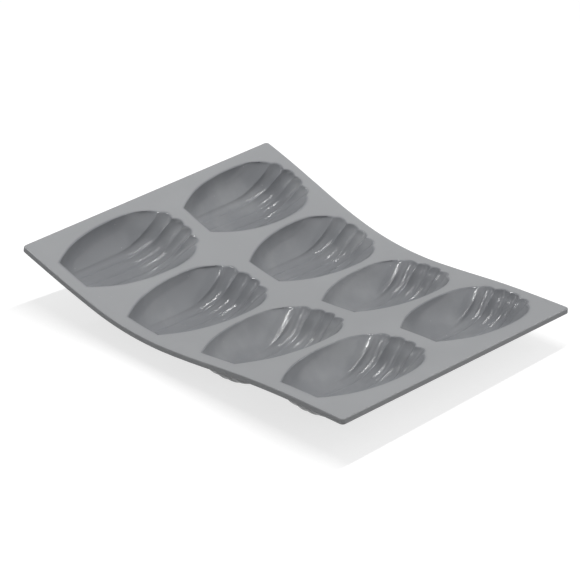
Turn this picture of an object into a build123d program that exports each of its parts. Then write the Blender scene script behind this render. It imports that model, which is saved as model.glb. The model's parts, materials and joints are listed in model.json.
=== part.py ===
"""Flexible madeleine mould: a bent sheet with eight shell-shaped cups, in four rows of two.

Millimetres. X runs along the long side from the raised end to the flat end, Y along the short side
from the edge at the cups' narrow ends, Z up from the table. The origin is under the middle.
"""
import os
from math import atan2, cos, hypot, radians, sin, tan

from build123d import *

# Sizes of one cup.
cup_length = 78.0
cup_width = 44.2
cup_depth = 15.8
cup_wall = 1.6
flute_rise = 1.0
side_flare = 0.2
rim_overrun = 4.0
end_wall_lean = 23.0

# Sizes of the sheet round the cups.
sheet_thickness = 3.0
row_gap = 5.5
column_gap = 7.3
raised_end_margin = 7.3
flat_end_margin = 9.0
near_margin = 7.6
far_margin = 5.1
corner_radius = 2.0
edge_round = 0.5
flex_width = 4.4
foot_flat = 0.3

# Counts.
rows = 4
columns = 2
steps_per_span = 5

# How the sheet is bent: its slope in degrees at nine even places along each long edge.
near_slopes = [-20.8, -19.7, -17.2, -7.2, 1.2, 4.0, 1.4, -2.2, -3.2]
far_slopes = [-21.2, -25.1, -25.2, -19.1, -9.1, -0.4, 1.1, -2.6, -3.0]

# How the bent sheet stands on the table: its slopes along and across, in degrees.
stand_along = 3.61
stand_across = 5.22

# Sizes that follow.
row_pitch = cup_width + row_gap
column_pitch = cup_length + column_gap
sheet_length = raised_end_margin + rows * cup_width + (rows - 1) * row_gap + flat_end_margin
sheet_width = near_margin + columns * cup_length + (columns - 1) * column_gap + far_margin
half_width = cup_width / 2

# Lines of a cup from its narrow end to past its rim: shares of its length, half width and depth.
rim_line_shares = [
    (0.0, 0.466, 0.0), (0.06, 0.595, 0.0), (0.13, 0.715, 0.0), (0.2, 0.81, 0.0), (0.3, 0.906, 0.0),
    (0.4, 0.966, 0.0), (0.5, 0.996, 0.0), (0.58, 1.0, 0.0), (0.66, 0.99, 0.0), (0.73, 0.962, 0.0),
    (0.78, 0.925, 0.0), (0.82, 0.87, 0.0), (0.85, 0.8, 0.02), (0.883, 0.725, 0.07), (0.927, 0.725, 0.23),
]
outer_ridge_shares = [
    (0.041, 0.384, -0.49), (0.08, 0.411, -0.625), (0.135, 0.444, -0.715), (0.218, 0.475, -0.78),
    (0.31, 0.493, -0.812), (0.44, 0.511, -0.838), (0.54, 0.52, -0.842), (0.615, 0.52, -0.815),
    (0.667, 0.529, -0.734), (0.718, 0.538, -0.61), (0.77, 0.556, -0.456), (0.82, 0.578, -0.29),
    (0.865, 0.61, -0.13), (0.9, 0.641, 0.0), (0.945, 0.685, 0.22),
]
inner_ridge_shares = [
    (0.045, 0.2, -0.54), (0.084, 0.222, -0.685), (0.138, 0.243, -0.785), (0.221, 0.264, -0.85),
    (0.31, 0.276, -0.89), (0.44, 0.286, -0.932), (0.56, 0.294, -0.943), (0.64, 0.296, -0.918),
    (0.71, 0.3, -0.85), (0.78, 0.305, -0.745), (0.823, 0.309, -0.61), (0.856, 0.313, -0.443),
    (0.889, 0.314, -0.27), (0.92, 0.318, -0.114), (0.944, 0.323, 0.0), (0.98, 0.336, 0.22),
]
middle_ridge_shares = [
    (0.046, 0.0, -0.56), (0.086, 0.0, -0.71), (0.14, 0.0, -0.815), (0.222, 0.0, -0.885),
    (0.31, 0.0, -0.918), (0.44, 0.0, -0.972), (0.56, 0.0, -1.0), (0.66, 0.0, -0.982),
    (0.74, 0.0, -0.915), (0.8, 0.0, -0.82), (0.84, 0.0, -0.696), (0.874, 0.0, -0.532),
    (0.908, 0.0, -0.354), (0.941, 0.0, -0.177), (0.972, 0.0, 0.0), (1.006, 0.0, 0.22),
]
# Stations along a cup: a share of its length and the section's lean in degrees.
station_shares = [(0.05, 14.0), (0.115, 9.0), (0.2, 5.0), (0.31, 2.0), (0.42, 0.0), (0.53, 0.0)]
# Past them the sections turn about one line above the cup.
pivot_share = 0.64
pivot_height = 8.0
fan_leans = [0.0, 20.0, 36.0, 50.0, 61.0, 70.0, 79.0]
# How strongly the flutes are hollowed at each station, from the narrow end to the wide end.
hollow_shares = [1.15, 1.1, 1.05, 1.0, 0.95, 0.95, 1.0, 1.1, 1.25, 1.45, 1.7, 1.9, 2.0, 2.0]
# How far a side bows out between the rim and the outer ridge, as a share of the height of that piece.
bow_share = 0.11


def between(table, x):
    """The second column of a table of pairs, read at x."""
    for (x0, y0), (x1, y1) in zip(table, table[1:]):
        if x <= x1:
            return y0 + (y1 - y0) * (x - x0) / (x1 - x0)
    return table[-1][1]


def crossing(line, along, up, lean):
    """Where a ridge line meets the section through (along, up) that leans by an angle: (across, down)."""
    c, s = cos(radians(lean)), sin(radians(lean))
    side = [(a - along) * c + (z - up) * s for a, _, z in line]
    i = 0
    while i < len(line) - 2 and side[i + 1] < 0:
        i += 1
    t = -side[i] / (side[i + 1] - side[i])
    a, b, z = (p + (q - p) * t for p, q in zip(line[i], line[i + 1]))
    return b, (a - along) * s - (z - up) * c


def section(along, up, lean, hollow, out):
    """One closed section of the cup's inside, or of its outside if out is the wall."""
    s, c = sin(radians(lean)), cos(radians(lean))
    lines = [
        [(a * cup_length, b * half_width, z * cup_depth) for a, b, z in line]
        for line in (rim_line_shares, outer_ridge_shares, inner_ridge_shares, middle_ridge_shares)
    ]
    rim, k1, k2, k3 = (crossing(line, along, up, lean) for line in lines)
    top = (rim[0] + side_flare * (rim[1] - (up - rim_overrun) / c), (up - rim_overrun) / c)
    if out:
        run = [top, rim, k1, k2, k3, (-k2[0], k2[1])]
        moved = []
        for i, p in enumerate(run[1:-1]):
            f, g = run[i], run[i + 2]
            x, y = g[0] - f[0], g[1] - f[1]
            d = hypot(x, y)
            moved.append((p[0] + out * y / d, p[1] - out * x / d))
        rim, k1, k2, k3 = moved
        top = (top[0] + out, top[1])
    run = [top, rim, k1, k2, k3]
    bulges = [0.0, bow_share * hypot(k1[0] - rim[0], k1[1] - rim[1]), *[flute_rise * hollow] * 2]

    def place(b, r):
        return Vector(along + r * s, b, up - r * c)

    def curve(p, q, bulge, side):
        """A parabola from p to q that stands out by the bulge at its middle."""
        x, y = q[0] - p[0], q[1] - p[1]
        d = hypot(x, y)
        b, r = (p[0] + q[0]) / 2 + 2 * bulge * y / d, (p[1] + q[1]) / 2 - 2 * bulge * x / d
        ends = [place(side * p[0], p[1]), place(side * b, r), place(side * q[0], q[1])]
        return Edge.make_bezier(*(ends if side > 0 else ends[::-1]))

    spans = list(zip(run, run[1:], bulges))
    edges = [curve(p, q, bulge, 1) for p, q, bulge in spans]
    edges += [curve(p, q, bulge, -1) for p, q, bulge in reversed(spans)]
    edges.append(Edge.make_line(place(-top[0], top[1]), place(*top)))
    return Wire(edges)


def cup_body(out):
    """The solid that fills a cup's inside, or its outside if out is the wall."""
    places = [(-out / cos(radians(end_wall_lean)), 0.0, end_wall_lean)]
    places += [(share * cup_length, 0.0, lean) for share, lean in station_shares]
    places += [(pivot_share * cup_length, pivot_height, lean) for lean in fan_leans]
    wires = [section(a, z, lean, h, out) for (a, z, lean), h in zip(places, hollow_shares)]
    return Solid.make_loft(wires)


def profile(slopes):
    """Points along one long edge of the bent sheet: (along the sheet, x, z)."""
    count = (len(slopes) - 1) * steps_per_span
    step = sheet_length / count
    points, x, z = [(0.0, 0.0, 0.0)], 0.0, 0.0
    for i in range(count):
        k = (i + 0.5) / steps_per_span
        j = int(k)
        a = radians(slopes[j] + (slopes[j + 1] - slopes[j]) * (k - j))
        x, z = x + step * cos(a), z + step * sin(a)
        points.append((step * (i + 1), x, z))
    return points


near_line, far_line = profile(near_slopes), profile(far_slopes)


def on_sheet(v, u):
    """A point of the sheet's top: v along the long side, u across."""
    share = u / sheet_width
    a = [between([(p[0], p[k]) for p in near_line], v) for k in (1, 2)]
    b = [between([(p[0], p[k]) for p in far_line], v) for k in (1, 2)]
    return Vector(a[0] + (b[0] - a[0]) * share, u, a[1] + (b[1] - a[1]) * share)


def edge_wire(line, y, down):
    """The closed outline of the sheet at one long edge, so far down from its top."""
    top = [Vector(x, y, z) for _, x, z in line]
    low = []
    for i, p in enumerate(top):
        f, g = top[max(i - 1, 0)], top[min(i + 1, len(top) - 1)]
        a = atan2(g.Z - f.Z, g.X - f.X)
        low.append(Vector(p.X + down * sin(a), y, p.Z - down * cos(a)))
    return Wire([
        Edge.make_spline(top), Edge.make_line(top[-1], low[-1]),
        Edge.make_spline(low[::-1]), Edge.make_line(low[0], top[0]),
    ])


def sheet_solid(down):
    return Solid.make_loft([edge_wire(near_line, 0.0, down), edge_wire(far_line, sheet_width, down)], True)


def cup_place(row, column):
    """The frame of a cup: its origin at the middle of its narrow end, X along it, Z out of its mouth."""
    v = raised_end_margin + half_width + row * row_pitch
    u = near_margin + column * column_pitch
    start, end = on_sheet(v, u), on_sheet(v, u + cup_length)
    mid = u + cup_length * pivot_share
    across = on_sheet(v + half_width, mid) - on_sheet(v - half_width, mid)
    x = (end - start).normalized()
    z = across.cross(x).normalized()
    rise = [(on_sheet(v + k * half_width, mid) - on_sheet(v, mid)).dot(z) for k in (-1, 1)]
    return Plane(origin=start + z * (sum(rise) / 4), x_dir=x, z_dir=z)


def flex_cut(row, side):
    """The plane across the sheet that bounds the strip after a row, on one side of its middle."""
    v = raised_end_margin + (row + 1) * cup_width + row * row_gap + row_gap / 2 + side * flex_width / 2
    a, b = on_sheet(v, 0.0), on_sheet(v, sheet_width)
    mid = on_sheet(v, sheet_width / 2)
    along = on_sheet(v + flex_width / 2, sheet_width / 2) - on_sheet(v - flex_width / 2, sheet_width / 2)
    x = (b - a).normalized()
    return Plane(origin=mid, x_dir=x, z_dir=(along - x * along.dot(x)).normalized())


def broadest_cut(row, column):
    """The plane across a cup where its rim is broadest."""
    v = raised_end_margin + half_width + row * row_pitch
    u = near_margin + column * column_pitch + max(rim_line_shares, key=lambda p: p[1])[0] * cup_length
    place = cup_place(row, column)
    return Plane(origin=on_sheet(v, u), x_dir=place.z_dir, z_dir=place.x_dir)


def half_space(plane, way):
    """Everything on one side of a plane, as far as the part reaches."""
    reach = sheet_length * 3
    edge = Align.MIN if way > 0 else Align.MAX
    return plane.location * Box(reach, reach, reach, align=(Align.CENTER, Align.CENTER, edge))


up = Vector(tan(radians(stand_along)), tan(radians(stand_across)), 1).normalized()
level = Plane(origin=(0, 0, 0), x_dir=Vector(1, 0, 0) - up * up.X, z_dir=up).location.inverse()

# The sheet, rounded at its corners and along its edges.
sheet = sheet_solid(sheet_thickness)
posts = [e for e in sheet.edges() if e.length < sheet_thickness * 2]
sheet = fillet(posts, corner_radius).solid()
rims = [e for f in sheet.faces().sort_by(SortBy.AREA)[-2:] for e in f.edges()]
sheet = fillet(rims, edge_round).solid()

# The cups: each is its outside less its inside, open at the sheet's top.
below = sheet_solid(cup_depth * 2)
inside, outside = cup_body(0.0), cup_body(cup_wall)
spots = [(r, c) for r in range(rows) for c in range(columns)]
outsides, cups = {}, {}
for spot in spots:
    here = cup_place(*spot).location
    outsides[spot] = here * outside & below
    cups[spot] = level * (outsides[spot] - here * inside).solid()

# The sheet in bands that carry the cups, with a strip that flexes between each two rows.
pieces = {}
rest = sheet
for row in range(rows):
    if row < rows - 1:
        first, second = flex_cut(row, -1), flex_cut(row, 1)
        band, rest = rest & half_space(first, -1), rest & half_space(second, 1)
        strip = sheet & half_space(first, 1) & half_space(second, -1)
        strip = strip - [outsides[spot] for spot in spots if spot[0] in (row, row + 1)]
        pieces[f"flex_strip_{row + 1}_{row + 2}"] = strip
    else:
        band = rest
    band = band - [outsides[spot] for spot in spots if spot[0] == row]
    if 0 < row < rows - 1:
        # Between two flex strips the cups' widest parts part the band into an edge, a bridge and an edge.
        cuts = [broadest_cut(row, column) for column in range(columns)]
        pieces[f"sheet_row_{row + 1}_near"] = band & half_space(cuts[0], -1)
        pieces[f"sheet_row_{row + 1}_middle"] = band & half_space(cuts[0], 1) & half_space(cuts[1], -1)
        pieces[f"sheet_row_{row + 1}_far"] = band & half_space(cuts[1], 1)
    else:
        pieces[f"sheet_row_{row + 1}"] = band

# The lowest cups press a little flat where they stand.
ends = ("near", "far")
table = min(cup.bounding_box().min.Z for cup in cups.values()) + foot_flat
extent = (level * sheet).bounding_box()
seat = Pos(-extent.center().X, -extent.center().Y, -table)
above = Box(sheet_length * 2, sheet_width * 2, sheet_length, align=(Align.CENTER, Align.CENTER, Align.MIN))
parts = {f"cup_row_{r + 1}_{ends[c]}": (seat * cup) & above for (r, c), cup in cups.items()}
parts.update({name: seat * (level * piece) for name, piece in pieces.items()})

os.makedirs("parts", exist_ok=True)
for name, shape in parts.items():
    solids = shape.solids()
    export_step(solids[0], f"parts/{name}.step")
    box = shape.bounding_box()
    low, high = box.min, box.max
    print(name, len(solids), round(shape.volume), *(round(x, 2) for x in (*low, *high)))

# The hinge lines, in the middle of the sheet's thickness.
for row in range(rows - 1):
    v = raised_end_margin + (row + 1) * row_pitch - row_gap / 2
    plane = flex_cut(row, 0)
    ends_of = [on_sheet(v, u) for u in (0.0, sheet_width)]
    normal = plane.y_dir if plane.y_dir.Z > 0 else -plane.y_dir
    line = [(seat * level * Location(p - normal * (sheet_thickness / 2))).position for p in ends_of]
    print("hinge", row + 1, line)
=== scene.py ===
import json

import bmesh
import bpy
from mathutils import Matrix, Vector
from mathutils.bvhtree import BVHTree

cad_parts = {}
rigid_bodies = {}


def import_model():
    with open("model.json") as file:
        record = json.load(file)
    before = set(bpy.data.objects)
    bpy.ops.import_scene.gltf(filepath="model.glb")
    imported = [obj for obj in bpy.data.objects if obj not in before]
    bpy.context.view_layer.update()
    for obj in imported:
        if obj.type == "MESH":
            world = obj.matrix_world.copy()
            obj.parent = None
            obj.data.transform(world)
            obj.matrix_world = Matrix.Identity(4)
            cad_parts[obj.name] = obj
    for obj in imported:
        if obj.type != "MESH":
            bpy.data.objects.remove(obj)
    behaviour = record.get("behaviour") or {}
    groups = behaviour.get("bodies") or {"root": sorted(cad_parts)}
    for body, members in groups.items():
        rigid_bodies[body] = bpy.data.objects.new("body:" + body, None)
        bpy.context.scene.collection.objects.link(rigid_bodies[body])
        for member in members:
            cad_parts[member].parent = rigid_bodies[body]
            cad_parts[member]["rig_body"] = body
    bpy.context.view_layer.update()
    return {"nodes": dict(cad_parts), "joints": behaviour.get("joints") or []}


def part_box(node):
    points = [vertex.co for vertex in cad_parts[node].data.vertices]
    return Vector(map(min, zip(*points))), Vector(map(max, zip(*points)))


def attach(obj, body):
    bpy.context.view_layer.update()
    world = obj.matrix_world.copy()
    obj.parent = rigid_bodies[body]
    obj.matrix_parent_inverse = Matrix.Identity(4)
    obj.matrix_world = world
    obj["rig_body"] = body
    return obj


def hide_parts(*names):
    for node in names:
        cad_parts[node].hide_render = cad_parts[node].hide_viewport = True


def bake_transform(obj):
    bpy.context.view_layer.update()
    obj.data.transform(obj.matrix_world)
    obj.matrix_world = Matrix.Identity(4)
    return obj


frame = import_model()
parts = frame["nodes"]

# The silicone: one grey, cured in a steel die. The die's blasted faces leave the web with a fine even grain.
# Its cup cores are smoother, so the cups are shinier, with fine cutter lines along the flutes. The cups are
# painted a darker grey than the web: painted shade inside the cups. Washing leaves a faint cloudiness, and
# the soft surface holds a few specks of lint.
web_grey = (0.354, 0.361, 0.372, 1.0)
# The cups' darker grey is painted shade inside the cups, not a different silicone.
cup_painted_shade_grey = (0.251, 0.259, 0.274, 1.0)
cloud_grey = (0.385, 0.394, 0.404, 1.0)
lint_grey = (0.62, 0.62, 0.61, 1.0)
web_roughness = 0.6
cup_roughness = 0.14
silicone_ior = 1.41
bloom = 0.08
bloom_roughness = 0.5
clouding = 0.5
cloud_scale = 30.0
cloud_detail = 4.0
cloud_starts, cloud_full = 0.42, 0.74
cloud_dulling = 0.08
lint_scale = 140.0
lint_core, lint_rim = 0.02, 0.055
lint_share = 0.3
grain_share = 0.5
grain_scale = 4200.0
grain_detail = 2.0
grain_depth = 0.00002
tool_share = 0.6
tool_lines = 240.0
tool_detail = 2.0
tool_depth = 0.00014
flute_half_fan = 0.08
flute_edge = 0.94

die_finish = bpy.data.node_groups.new("die_finish", "ShaderNodeTree")
for socket, kind, value in (
    ("Web colour", "NodeSocketColor", web_grey), ("Cup painted-shade colour", "NodeSocketColor", cup_painted_shade_grey),
    ("Web roughness", "NodeSocketFloat", web_roughness),
    ("Cup roughness", "NodeSocketFloat", cup_roughness),
    ("Cup", "NodeSocketFloat", 0.0), ("Fan", "NodeSocketFloat", 0.0),
    ("Clouding", "NodeSocketFloat", clouding), ("Grain", "NodeSocketFloat", grain_share),
    ("Tool marks", "NodeSocketFloat", tool_share),
):
    die_finish.interface.new_socket(socket, in_out="INPUT", socket_type=kind).default_value = value
for socket, kind in (
    ("Colour", "NodeSocketColor"), ("Roughness", "NodeSocketFloat"), ("Normal", "NodeSocketVector"),
):
    die_finish.interface.new_socket(socket, in_out="OUTPUT", socket_type=kind)


def add_node(tree, kind, wires=(), **settings):
    """A shader node with its settings, its values and what is wired into it."""
    made = tree.nodes.new("ShaderNode" + kind)
    for name, value in settings.items():
        setattr(made, name, value)
    for socket, source in wires:
        if isinstance(source, bpy.types.NodeSocket):
            tree.links.new(source, made.inputs[socket])
        else:
            made.inputs[socket].default_value = source
    return made


def mixed(tree, share, first, second, kind="RGBA"):
    """Two colours or values mixed by a share. A Mix node has sockets of its own for each kind."""
    at_first, at_second, at_result = (6, 7, 2) if kind == "RGBA" else (2, 3, 0)
    wires = [(0, share), (at_first, first), (at_second, second)]
    return add_node(tree, "Mix", wires, data_type=kind).outputs[at_result]


def worked_out(tree, operation, *values):
    """The result of a Math node on its values."""
    return add_node(tree, "Math", enumerate(values), operation=operation).outputs[0]


def stepped(tree, value, low, high, start, end, how="SMOOTHSTEP"):
    """A value carried from one range to another."""
    wires = [("Value", value), ("From Min", low), ("From Max", high), ("To Min", start), ("To Max", end)]
    return add_node(tree, "MapRange", wires, interpolation_type=how).outputs["Result"]


given = die_finish.nodes.new("NodeGroupInput").outputs
put_out = die_finish.nodes.new("NodeGroupOutput").inputs
place = add_node(die_finish, "TexCoord").outputs["Object"]
clouds = add_node(
    die_finish, "TexNoise", [("Vector", place), ("Scale", cloud_scale), ("Detail", cloud_detail)],
)
cloudy = stepped(die_finish, clouds.outputs["Fac"], cloud_starts, cloud_full, 0.0, given["Clouding"])
specks = add_node(die_finish, "TexVoronoi", [("Vector", place), ("Scale", lint_scale)])
lint = stepped(die_finish, specks.outputs["Distance"], lint_core, lint_rim, lint_share, 0.0)
# The cups take the darker grey here: painted shade inside the cups.
base_with_painted_cup_shade = mixed(die_finish, given["Cup"], given["Web colour"], given["Cup painted-shade colour"])
washed = mixed(die_finish, cloudy, base_with_painted_cup_shade, cloud_grey)
die_finish.links.new(mixed(die_finish, lint, washed, lint_grey), put_out["Colour"])
shine = mixed(die_finish, given["Cup"], given["Web roughness"], given["Cup roughness"], kind="FLOAT")
dulled = worked_out(die_finish, "MULTIPLY_ADD", cloudy, cloud_dulling, shine)
die_finish.links.new(dulled, put_out["Roughness"])
grain = add_node(
    die_finish, "TexNoise", [("Vector", place), ("Scale", grain_scale), ("Detail", grain_detail)],
)
blasted = add_node(
    die_finish, "Bump",
    [("Strength", given["Grain"]), ("Distance", grain_depth), ("Height", grain.outputs["Fac"])],
)
spread = worked_out(die_finish, "ABSOLUTE", given["Fan"])
in_flutes = stepped(
    die_finish, spread, flute_half_fan * flute_edge, flute_half_fan, given["Tool marks"], 0.0,
)
cutter_place = worked_out(die_finish, "MULTIPLY", given["Fan"], tool_lines)
cutter = add_node(
    die_finish, "TexNoise", [("W", cutter_place), ("Scale", 1.0), ("Detail", tool_detail)],
    noise_dimensions="1D",
)
scored = add_node(
    die_finish, "Bump",
    [("Strength", in_flutes), ("Distance", tool_depth), ("Height", cutter.outputs["Fac"]),
     ("Normal", blasted.outputs["Normal"])],
)
die_finish.links.new(scored.outputs["Normal"], put_out["Normal"])

silicone = bpy.data.materials.new("grey_silicone")
silicone.use_nodes = True
shader = silicone.node_tree.nodes["Principled BSDF"]
shader.inputs["IOR"].default_value = silicone_ior
shader.inputs["Sheen Weight"].default_value = bloom
shader.inputs["Sheen Roughness"].default_value = bloom_roughness
in_cup = add_node(silicone.node_tree, "Attribute", attribute_name="cup_core").outputs["Fac"]
in_fan = add_node(silicone.node_tree, "Attribute", attribute_name="flute_fan").outputs["Fac"]
finish = add_node(silicone.node_tree, "Group", node_tree=die_finish)
silicone.node_tree.links.new(in_cup, finish.inputs["Cup"])
silicone.node_tree.links.new(in_fan, finish.inputs["Fan"])
for output, socket in (("Colour", "Base Color"), ("Roughness", "Roughness"), ("Normal", "Normal")):
    silicone.node_tree.links.new(finish.outputs[output], shader.inputs[socket])

# The moulding: the sheet and its eight cups are cured in one shot, so no seam or joint line shows between
# them. Each row of two cups stays stiff, and the plain strip that follows it is where the sheet bends; here
# that strip joins its row's skin, cut across into thin folds. A narrow flat bead runs down each ridge.
flex_width = 0.0044
flex_folds = 9
ridge_angle = 0.36
bead_half = 0.00025
edge_angle = 0.22
fan_reach = 0.11
outside_fan = 1.0
on_web = 0.00005
same_point = 0.000002
on_cut = 1e-7

web = bmesh.new()
for name, part in parts.items():
    if not name.startswith("cup"):
        web.from_mesh(part.data)
web_surface = BVHTree.FromBMesh(web)
web.free()


def off_web(v):
    """Whether a corner is clear of the web's surface."""
    return web_surface.find_nearest(v.co, on_web)[0] is None


# Each row, the row that follows it, the joint between them, and how the sheet leans along its length there.
row_strips = (
    ("row_1", "row_2", "flex_1_2", 0.304), ("row_2", "row_3", "flex_2_3", 0.014),
    ("row_3", "row_4", "flex_3_4", -0.086), ("row_4", None, None, None),
)
for row, next_row, joint, lean in row_strips:
    covered = [name for name in parts if parts[name]["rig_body"] == row and "strip" not in name]
    strip = None
    if joint is not None:
        strip = joint.replace("flex", "flex_strip")
        covered.append(strip)
        hinge = next(j for j in frame["joints"] if j["name"] == joint)
        axis = Vector(hinge["axis"]) * (1 if hinge["axis"][1] > 0 else -1)
        middle, lie = Vector(hinge["pos_m"]), axis.cross(Vector((lean, 0.0, 1.0))).normalized()
    skin = bmesh.new()
    for name in covered:
        shell = bmesh.new()
        shell.from_mesh(parts[name].data)
        bmesh.ops.remove_doubles(shell, verts=shell.verts, dist=same_point)
        if name == strip:
            for fold in range(1, flex_folds):
                bmesh.ops.bisect_plane(
                    shell, geom=shell.verts[:] + shell.edges[:] + shell.faces[:], dist=on_cut,
                    plane_co=middle + lie * flex_width * (fold / flex_folds - 0.5), plane_no=lie,
                )
        is_cup = name.startswith("cup")
        if is_cup:
            ridges = [
                e for e in shell.edges
                if e.calc_face_angle(0.0) > ridge_angle and all(off_web(v) for v in e.verts)
            ]
            bmesh.ops.bevel(
                shell, geom=ridges, offset=bead_half, offset_type="OFFSET", segments=1, profile=0.5,
                affect="EDGES", material=-1, clamp_overlap=False,
            )
        flute_fan = shell.verts.layers.float.new("flute_fan")
        low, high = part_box(name)
        for v in shell.verts:
            across, along = v.co.x - (low[0] + high[0]) / 2, v.co.y - low[1]
            v[flute_fan] = across / (along + fan_reach) if is_cup else outside_fan
        shell_mesh = bpy.data.meshes.new(name + "_shell")
        shell.to_mesh(shell_mesh)
        shell.free()
        skin.from_mesh(shell_mesh)
        bpy.data.meshes.remove(shell_mesh)
    cup_core = skin.verts.layers.float.new("cup_core")
    for v in skin.verts:
        v[cup_core] = 1.0 if off_web(v) else 0.0
    for face in skin.faces:
        face.smooth = True
    for e in skin.edges:
        e.smooth = e.calc_face_angle(0.0) < edge_angle
    mesh = bpy.data.meshes.new("skin_of_" + row)
    skin.to_mesh(mesh)
    skin.free()
    mesh.materials.append(silicone)
    piece = bpy.data.objects.new("skin_of_" + row, mesh)
    bpy.context.scene.collection.objects.link(piece)
    if joint is not None:
        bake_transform(piece)
    else:
        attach(piece, row)
    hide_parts(*covered)

# The table: a plain white top that runs out of sight, on which the mould stands on three of its cups. It
# looks white to the camera, and lights the mould's underside only faintly.
table_size = 6.0
table_white = (0.42, 0.42, 0.42, 1.0)
table_shade = (0.22, 0.22, 0.22, 1.0)
table_glow = 0.72
table_roughness = 0.9

top = bmesh.new()
bmesh.ops.create_grid(top, x_segments=1, y_segments=1, size=table_size / 2)
table_mesh = bpy.data.meshes.new("table")
top.to_mesh(table_mesh)
top.free()
table = bpy.data.objects.new("table", table_mesh)
bpy.context.scene.collection.objects.link(table)
white_top = bpy.data.materials.new("white_top")
white_top.use_nodes = True
tree = white_top.node_tree
gloss = tree.nodes["Principled BSDF"].inputs
seen = add_node(tree, "LightPath").outputs
direct = worked_out(tree, "MAXIMUM", seen["Is Camera Ray"], seen["Is Glossy Ray"])
plain = worked_out(tree, "MAXIMUM", direct, seen["Is Transmission Ray"])
tree.links.new(mixed(tree, plain, table_shade, table_white), gloss["Base Color"])
tree.links.new(worked_out(tree, "MULTIPLY", plain, table_glow), gloss["Emission Strength"])
gloss["Emission Color"].default_value = (1.0, 1.0, 1.0, 1.0)
gloss["Roughness"].default_value = table_roughness
gloss["Specular IOR Level"].default_value = 0.0
table.data.materials.append(white_top)

# The light: a pale room, brighter at the back than at the front. A strip lamp overhead and one at the raised
# end draw the bright lines down the flutes, a broad box at the back lights the sheet, and a low one at the
# front lights its edge.
front_level = 0.05
back_level = 0.45
seen_level = 1.0
room_slope = Vector((0.1, 0.68, 0.72))
room = bpy.data.worlds.new("room")
room.use_nodes = True
bpy.context.scene.world = room
air = room.node_tree
seen_at = add_node(air, "TexCoord").outputs["Generated"]
height = add_node(air, "VectorMath", [(0, seen_at), (1, room_slope)], operation="DOT_PRODUCT")
level = stepped(air, height.outputs["Value"], 0.0, 1.0, front_level, back_level, how="LINEAR")
to_camera = add_node(air, "LightPath").outputs["Is Camera Ray"]
strength = mixed(air, to_camera, level, seen_level, kind="FLOAT")
air.nodes["Background"].inputs["Color"].default_value = (1.0, 1.0, 1.0, 1.0)
air.links.new(strength, air.nodes["Background"].inputs["Strength"])

# Each lamp: its place, its width and length, its watts, and the way that its length runs.
lamps = {
    "overhead_strip": ((0.0, 0.0, 1.3), 0.03, 1.0, 9.0, (0.0, -1.0, 0.0)),
    "end_strip": ((-0.8, -0.55, 0.65), 0.05, 1.0, 1.6, (0.0, -1.0, 0.0)),
    "back_box": ((1.0, 0.8, 0.85), 1.6, 1.6, 6.0, (-0.8, 1.0, 0.0)),
    "front_box": ((0.45, -1.25, 0.14), 0.2, 1.2, 3.0, (1.25, 0.45, 0.0)),
}
for name, (spot, width, length, watts, run) in lamps.items():
    lamp = bpy.data.lights.new(name, "AREA")
    lamp.shape = "RECTANGLE"
    lamp.size = width
    lamp.size_y = length
    lamp.energy = watts
    stand = bpy.data.objects.new(name, lamp)
    bpy.context.scene.collection.objects.link(stand)
    facing = Vector(spot).normalized()
    side = Vector(run).cross(facing).normalized()
    lamp_turn = Matrix((side, facing.cross(side), facing)).transposed().to_4x4()
    stand.matrix_world = Matrix.Translation(spot) @ lamp_turn

# The camera: a long lens, from the near corner of the flat end, rolled a little against the table.
lens_length = 105.22
sensor_width = 36.0
nearest_seen = 0.05
camera_place = (0.49229, -0.58142, 0.3665)
camera_right = Vector((0.73701, 0.67229, 0.06953)).normalized()
camera_back = Vector((0.59179, -0.69159, 0.4141)).normalized()

lens = bpy.data.cameras.new("camera")
lens.lens = lens_length
lens.sensor_width = sensor_width
lens.clip_start = nearest_seen
eye = bpy.data.objects.new("camera", lens)
bpy.context.scene.collection.objects.link(eye)
camera_up = camera_back.cross(camera_right).normalized()
camera_turn = Matrix((camera_up.cross(camera_back), camera_up, camera_back)).transposed().to_4x4()
eye.matrix_world = Matrix.Translation(camera_place) @ camera_turn
bpy.context.scene.camera = eye

bpy.context.scene.view_settings.view_transform = "Standard"
